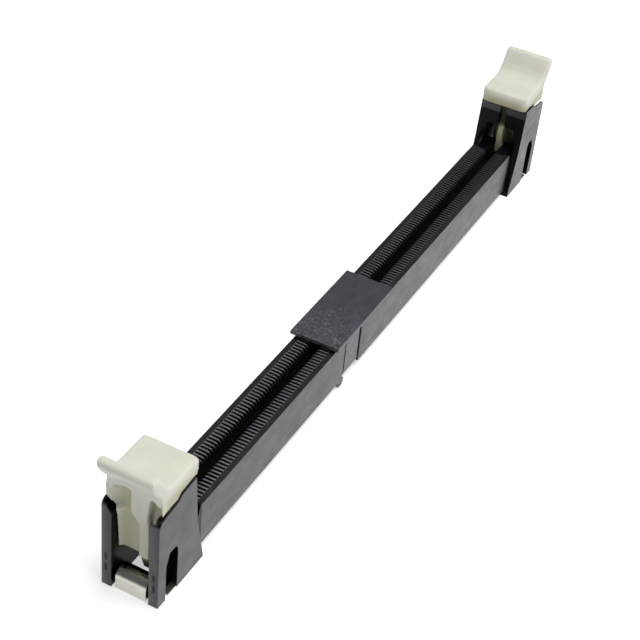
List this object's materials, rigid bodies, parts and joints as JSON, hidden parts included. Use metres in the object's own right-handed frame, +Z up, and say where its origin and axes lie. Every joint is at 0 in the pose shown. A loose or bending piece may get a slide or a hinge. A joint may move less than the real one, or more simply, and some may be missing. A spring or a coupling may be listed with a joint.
{
  "type": "card edge connector",
  "caption": "Long two-row card edge connector with a keyed slot, a pivoting ejector latch at each end, metal hold-downs and a clip-on cap.",
  "frame": {"origin": "middle of the connector's length and width, on the board plane", "axes": "+X along the card slot, towards the end with the longer bank of contacts; -Y is the wall seen in the picture; +Z up from the board"},
  "size_m": [0.1596, 0.0106, 0.0285],
  "materials": {
    "housing": "satin",
    "cap": "satin",
    "latch": "satin",
    "tinned": "satin",
    "contact": "satin"
  },
  "bodies": {
    "socket": {"housing": "housing", "cap": "cap", "hold_down_left": "tinned", "hold_down_right": "tinned", "contacts_front_1": "contact", "contacts_front_2": "contact", "contacts_front_3": "contact", "contacts_front_4": "contact", "contacts_front_5": "contact", "contacts_front_6": "contact", "contacts_front_7": "contact", "contacts_front_8": "contact", "contacts_front_9": "contact", "contacts_rear_1": "contact", "contacts_rear_2": "contact", "contacts_rear_3": "contact", "contacts_rear_4": "contact", "contacts_rear_5": "contact", "contacts_rear_6": "contact", "contacts_rear_7": "contact", "contacts_rear_8": "contact", "contacts_rear_9": "contact"},
    "latch_left_body": {"latch_left": "latch"},
    "latch_right_body": {"latch_right": "latch"}
  },
  "joints": [
    {"name": "left_latch_hinge", "type": "hinge", "parent": "socket", "child": "latch_left_body", "pos_m": [-0.0741, 0, 0.0116], "axis": [0, -1, 0], "range_deg": [0, 18]},
    {"name": "right_latch_hinge", "type": "hinge", "parent": "socket", "child": "latch_right_body", "pos_m": [0.0741, 0, 0.0116], "axis": [0, 1, 0], "range_deg": [0, 18]}
  ]
}
